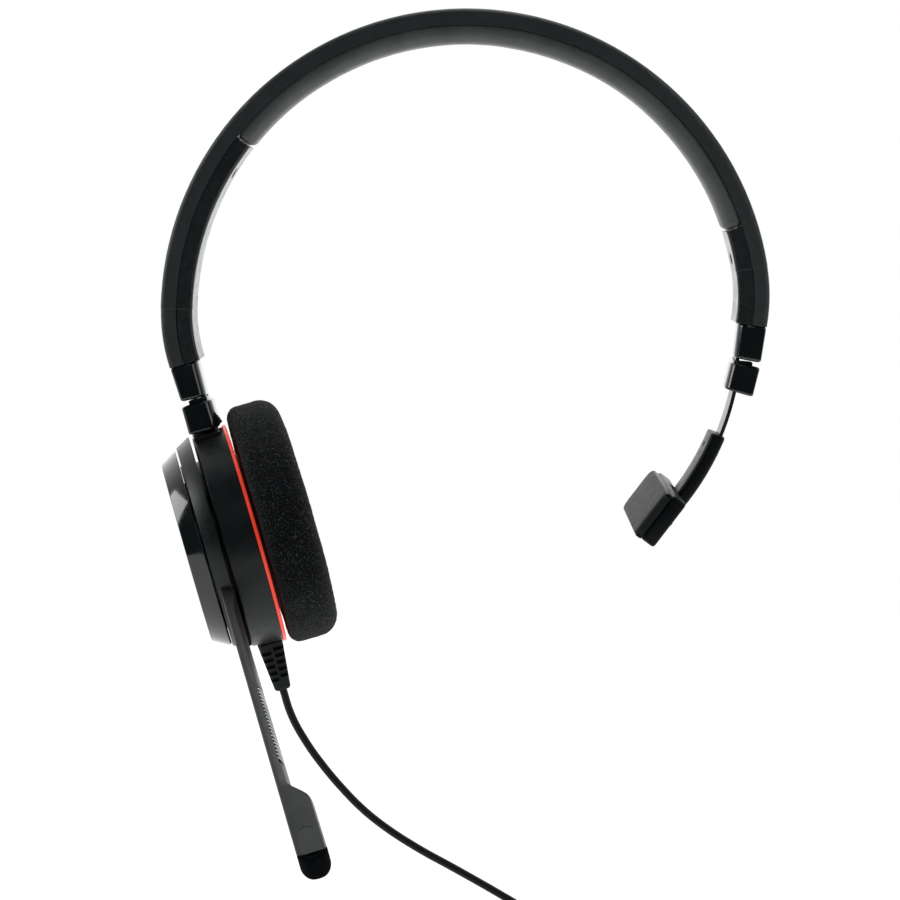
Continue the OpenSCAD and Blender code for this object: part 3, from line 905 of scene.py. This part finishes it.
def boom_ribs():
    """Short grip ribs along the top of the arm's inside face, in a light grey that is a painted
    highlight.
    """
    parts = []
    for k in range(RIB_COUNT):
        at = RIBS_FROM + RIB_PITCH * k
        half = arm_half(at)
        rings = []
        for step in range(7):
            y = -half * (0.995 - 0.42 * step / 6)
            x = arm_inside(y, half)
            rise = 0.34 * math.sin(math.pi * (0.2 + 0.77 * step / 6)) ** 0.5
            section = [(-0.5, -0.22), (rise * 0.6, -0.18), (rise, -0.08)]
            section += [(rise, 0.08), (rise * 0.6, 0.18), (-0.5, 0.22)]
            rings.append([(x + dx, y, -at + dz - 0.28 * step) for dx, dz in section])
        parts.append(loft(rings))
    return piece("boom_grip_ribs", merged(*parts), BOOM, "boom", "boom_grey", (), 50, "rib_painted_highlight")


def boom_ring():
    outline = rounded(
        [(-26.38, 21.28), (-26.38, 25.9), (-22.65, 27.95), (-22.65, 21.28)],
        [0.15, 0.14, 0.14, 0.15],
        4,
    )
    return piece("boom_ring_body", lathe(outline), CUP, "boom", "satin_black", ["boom_ring"])


boom_ring()
boom_body()
windscreen()
rib_shade_strip()
boom_ribs()

# ---------------------------------------------------------------- headband


def headband_pad():
    """A soft pad along the inside of the band: crowned, with pulled-in edges and rounded ends."""
    half = BAND_W / 2 - 0.2
    back = SEAM_R - 0.1
    section = []
    for k in range(21):
        s = -1 + k / 10
        section.append((INNER_R - 0.38 + 2.1 * abs(s) ** 4.2, half * s))
    section += [(back - 0.9, half - 0.02), (back, half - 0.5), (back, -half + 0.5)]
    section += [(back - 0.9, -half + 0.02)]
    bm = arc_loft(section, 14.7, 137.4, 150, ease=1.6, middle=(INNER_R + SEAM_R) / 2)
    bmesh.ops.triangulate(bm, faces=[f for f in bm.faces if len(f.verts) > 4])
    bm.normal_update()
    moves = []
    for v in bm.verts:
        soft = noise.noise(v.co * 0.05) * 0.14 + noise.noise(v.co * 0.35) * 0.03
        inner = smoothstep(SEAM_R - 0.6, INNER_R + 1.0, math.hypot(v.co.x, v.co.z))
        moves.append((v, v.normal * soft * inner))
    for v, move in moves:
        v.co += move
    obj = piece("headband_cushion", bm, BAND, "headband", "pad_rubber", ["headband_pad"], 60)
    return obj


headband_pad()


def slider_solid(corners):
    """A gloss box fitted to four (x, z) corners of its front: inner and outer bottom, then inner
    and outer top. Its inner edges are rounder than its outer ones."""
    (x00, z00), (x10, z10), (x01, z01), (x11, z11) = corners
    across = 7.4
    half = BAND_W / 2
    outline = rounded(
        [(0, -half), (across, -half), (across, half), (0, half)], [2.7, 0.8, 0.8, 2.7], 8
    )
    high = 7.8
    levels = [(0.0, 0.6), (0.08, 0.32), (0.28, 0.1), (0.6, 0.0), (0.72, 0.0), (1.1, 0.0)]
    levels += [(high - z, pull) for z, pull in reversed(levels)]
    rings = []
    for z, pull in levels:
        ring = []
        for x, y in outline:
            x = across / 2 + (x - across / 2) * (1 - 2 * pull / across)
            s, t = x / across, z / high
            px = (x00 * (1 - s) + x10 * s) * (1 - t) + (x01 * (1 - s) + x11 * s) * t
            pz = (z00 * (1 - s) + z10 * s) * (1 - t) + (z01 * (1 - s) + z11 * s) * t
            ring.append((px, y * (1 - pull / half), pz))
        rings.append(ring)
    return loft(rings)


def neck():
    """The dark step between a block and its collar, slotted for the strip."""
    step = box((4.7, 10.4, 1.5), (1.35, 0, -10.05), 0.2, 2)
    return carved(step, box((0.92, 7.02, 6), (0, 0, -10)))


STRIP_SLOT = (1.5, 7.6, 12)
STEM_RADIUS = 1.66
LEFT_COLLAR = [(-1.0, -9.2), (5.4, -8.9), (-1.3, -0.1), (5.65, -0.08)]
RIGHT_COLLAR = [(-1.1, -8.75), (5.6, -9.1), (-1.3, -0.08), (5.7, -0.1)]
LEFT_BLOCK = [(-2.0, -17.6), (5.8, -17.5), (-1.85, -10.2), (5.7, -10.2)]
RIGHT_BLOCK = [(-2.3, -16.75), (4.85, -17.8), (-1.6, -9.9), (5.6, -10.25)]
for label, side, corners in (("left", -1, LEFT_COLLAR), ("right", 1, RIGHT_COLLAR)):
    collar = carved(slider_solid(corners), box(STRIP_SLOT, (0, 0, -4.05)))
    piece(
        f"{label}_collar_body",
        collar,
        rail(side),
        "headband",
        "gloss_black",
        [f"{label}_collar"],
        30,
    )
cup_clearance = tube(29.2, 30, shift(-18, 0, 0) @ turn("Y", 90), 180)
bmesh.ops.transform(cup_clearance, matrix=rail(-1).inverted() @ CUP, verts=cup_clearance.verts)
left_cuts = [
    tube(STEM_RADIUS, 6, shift(1.6, 0, -14.9)),
    tube(2.7, 1.5, shift(1.6, 0, -11.75)),
    box((0.92, 7.02, 3), (0, 0, -9.3)),
    cup_clearance,
]
right_cuts = [box((2.1, 7.0, 10), (0.35, 0, -13.1))]
for label, side, corners, cuts in (
    ("left", -1, LEFT_BLOCK, left_cuts),
    ("right", 1, RIGHT_BLOCK, right_cuts),
):
    block = merged(carved(slider_solid(corners), *cuts), neck())
    piece(
        f"{label}_block_body",
        block,
        rail(side),
        f"{label}_slider",
        "gloss_black",
        [f"{label}_block"],
        30,
    )

# ---------------------------------------------------------------- temple rest


def arm_sleeve():
    """Rubber sleeve on the strip, ending in the knuckle of the crossbar's hinge."""
    outline = rounded([(-1.85, -5.3), (1.85, -5.3), (1.85, 5.3), (-1.85, 5.3)], 1.1, 5)
    section = [(ARM_R - 0.7 + x, y) for x, y in outline]
    body = arc_loft(section, -41.2, -21.4, 26, ARM_C, ease=0.8, middle=ARM_R - 0.7)
    near, far = ARM_R - 0.46, ARM_R + 0.46
    strip = [(near, -3.52), (far, -3.52), (far, 3.52), (near, 3.52)]
    slot_cut = arc_loft(strip, -38.3, -18, 12, ARM_C)
    bmesh.ops.translate(body, vec=(0, ARM_C.y, 0), verts=body.verts)
    bmesh.ops.translate(slot_cut, vec=(0, ARM_C.y, 0), verts=slot_cut.verts)
    pin = REST @ turn("X", 90)
    knuckle = tube(1.3, 10.6, pin, 40)
    bore = tube(1.06, 20, pin, 32)
    bore_2 = tube(1.06, 20, pin, 32)
    hole_at = shift(*arc_point(ARM_R - 2.4, -24.6, ARM_C.y, ARM_C))
    hole = tube(0.75, 4, hole_at @ turn("Y", 90 + 24.6))
    sleeve = carved(body, slot_cut, bore_2, hole)
    knuckle = carved(knuckle, bore)
    return piece(
        "arm_sleeve_body",
        merged(sleeve, knuckle),
        ROW,
        "right_slider",
        "sleeve_rubber",
        ["arm_sleeve"],
        40,
    )


def temple_pad():
    """Soft pad on the crossbar: crowned face, pulled-in corners, ends rounded off."""
    half_l, half_h, depth = 21.8, 6.45, 2.1
    outline = rounded(
        [(-half_l, -half_h), (half_l, -half_h), (half_l, half_h), (-half_l, half_h)], 2.2, 8
    )
    levels = [(-5.2, 0.0), (-5.6, -0.04), (-6.3, 0.0), (-6.9, 0.22), (-7.15, 0.55), (-7.25, 1.1)]
    rings = []
    for x, pull in levels:
        ring = [(y - math.copysign(pull, y), z - math.copysign(pull, z)) for y, z in outline]
        rings.append([(x, y, z) for y, z in ring])
    for pull, x in ((0.75, -7.36), (0.45, -7.42), (0.15, -7.44)):
        rings.append([(x, y * pull, z * pull) for y, z in outline])
    bm = loft(rings)
    obj = piece("temple_cushion", bm, REST, "temple_rest", "temple_rubber", ["temple_pad"], 60)
    return obj


def temple_holder():
    """The bar behind the pad: a pocket for the sleeve, a rim under the pad, lugs for the pin."""
    bar = box((4.05, 43.2, 13.3), (-3.175, 0, 0.35), 0.8, 4)
    pocket = box((8, 11.3, 14), (0.3, 0, 4.1), 0.3, 2)
    parts = [carved(bar, pocket), box((1.85, 42.6, 13.0), (-5.825, 0, 0), 0.5, 3)]
    for y in (-6.65, 6.65):
        parts.append(box((2.8, 1.7, 2.4), (-1.4, y, 0), 0.2, 2))
        parts.append(tube(1.2, 1.7, shift(0, y, 0) @ turn("X", 90), 40))
    return piece(
        "temple_holder", merged(*parts), REST, "temple_rest", "sleeve_rubber", ["temple_plate"], 35
    )


arm_sleeve()
temple_pad()
temple_holder()

# ---------------------------------------------------------------- plug and tie


def plug():
    """Plug body with finger ridges, and its ribbed relief."""
    body = box((26, 16, 8.5), (67, PLUG_Y, PLUG_Z), 1.6, 5)
    ridges = []
    for k in range(6):
        for side in (-1, 1):
            centre = (62 + 1.9 * k, PLUG_Y + side * 8.0, PLUG_Z)
            ridges.append(box((0.8, 0.7, 5.2), centre, 0.2, 2))
    socket = box((9, 12.02, 4.52), (57.5, PLUG_Y, PLUG_Z))
    solid = carved(body, socket, *ridges)
    rings = []
    for k in range(34):
        t = k / 33
        radius = 2.9 - 1.2 * t
        if k % 4 in (1, 2) and 2 < k < 32:
            radius -= 0.42
        ring = []
        for step in range(28):
            a = 2 * math.pi * step / 28
            ring.append(
                (80 + 10 * t, PLUG_Y + radius * math.cos(a), PLUG_Z + radius * math.sin(a))
            )
        rings.append(ring)
    piece("plug_housing", solid, ROW, "ear_cup", "plug_black", ["plug_body"], 35)
    boot = loft(rings)
    return piece("plug_relief_boot", boot, ROW, "ear_cup", "cord_rubber", ["plug_relief"], 30)


def cord_tie():
    """A twist of flat tie round the coil."""
    outer = box((10.1, 5, 9), (83, COIL_Y, -131.5), 0.45, 3)
    inner = box((9.1, 7, 8.05), (83, COIL_Y, -131.5), 0.3, 2)
    return piece(
        "coil_tie", carved(outer, inner), ROW, "ear_cup", "windscreen", ["cord_tie"], 35
    )


plug()
cord_tie()

# ---------------------------------------------------------------- carried-over CAD nodes

slots = {row["node"]: row["material_slot"] for row in frame["record"]["subparts"]}
for name, obj in frame["nodes"].items():
    obj.data.materials.clear()
    obj.data.materials.append(MATS[slots[name]])

# ---------------------------------------------------------------- stage and light

bpy.ops.mesh.primitive_plane_add(size=1.1, location=(0.04, 0, GROUND_Z * MM))
floor = bpy.context.object
floor.name = "floor"
n = Nodes("floor")
tone = n.ramp(n.noise(3), "Fac", [(0.3, (0.10, 0.10, 0.10)), (0.7, (0.14, 0.14, 0.14))])
n.link(tone, "Color", n.shader, "Base Color")
floor.data.materials.append(
    n.finish(Roughness=0.9, Emission_Color=(1, 1, 1, 1), Emission_Strength=1.0)
)
floor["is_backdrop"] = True

bpy.context.scene.view_settings.view_transform = "Standard"
world = bpy.data.worlds.new("studio")
bpy.context.scene.world = world
world.use_nodes = True
tree = world.node_tree
tree.nodes.clear()
out = tree.nodes.new("ShaderNodeOutputWorld")
mix = tree.nodes.new("ShaderNodeMixShader")
seen = tree.nodes.new("ShaderNodeBackground")
cast = tree.nodes.new("ShaderNodeBackground")
path = tree.nodes.new("ShaderNodeLightPath")
seen.inputs["Color"].default_value = (1, 1, 1, 1)
seen.inputs["Strength"].default_value = 1.0
cast.inputs["Strength"].default_value = 1.7
facing = tree.nodes.new("ShaderNodeTexCoord")
parts = tree.nodes.new("ShaderNodeSeparateXYZ")
level = tree.nodes.new("ShaderNodeMapRange")
ramp = tree.nodes.new("ShaderNodeValToRGB")
for element, place, colour in zip(
    ramp.color_ramp.elements, (0.0, 1.0), ((0.013, 0.02, 0.023, 1), (1.0, 1.0, 1.0, 1))
):
    element.position, element.color = place, colour
for key, value in (("From Min", -0.25), ("From Max", 0.9), ("To Min", 0.0), ("To Max", 1.0)):
    level.inputs[key].default_value = value
tree.links.new(facing.outputs["Generated"], parts.inputs[0])
tree.links.new(parts.outputs["Y"], level.inputs["Value"])
tree.links.new(level.outputs["Result"], ramp.inputs["Fac"])
tree.links.new(ramp.outputs["Color"], cast.inputs["Color"])
tree.links.new(path.outputs["Is Camera Ray"], mix.inputs[0])
tree.links.new(cast.outputs[0], mix.inputs[1])
tree.links.new(seen.outputs[0], mix.inputs[2])
tree.links.new(mix.outputs[0], out.inputs[0])


def soft_box(name, place, target, size, power):
    data = bpy.data.lights.new(name, "AREA")
    data.shape = "RECTANGLE"
    data.size, data.size_y = size
    data.energy = power
    obj = bpy.data.objects.new(name, data)
    bpy.context.scene.collection.objects.link(obj)
    obj.location = place
    aim = Vector(target) - Vector(place)
    obj.rotation_euler = aim.to_track_quat("-Z", "Y").to_euler()
    return obj


CENTRE = (0.04, 0, 0.03)
soft_box("top", (0.15, 0.12, 0.95), CENTRE, (0.8, 0.6), 4)
soft_box("left", (-0.95, -0.12, 0.33), CENTRE, (0.45, 0.45), 3.8)
soft_box("right", (0.8, -0.5, 0.3), CENTRE, (0.35, 0.7), 1.4)
soft_box("front", (0.1, -1.1, 0.8), CENTRE, (0.5, 0.3), 0.6)

# ---------------------------------------------------------------- bounds

for low_high in (CAD_BOX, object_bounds()):
    corners = [[round(float(c), 6) for c in corner] for corner in low_high]
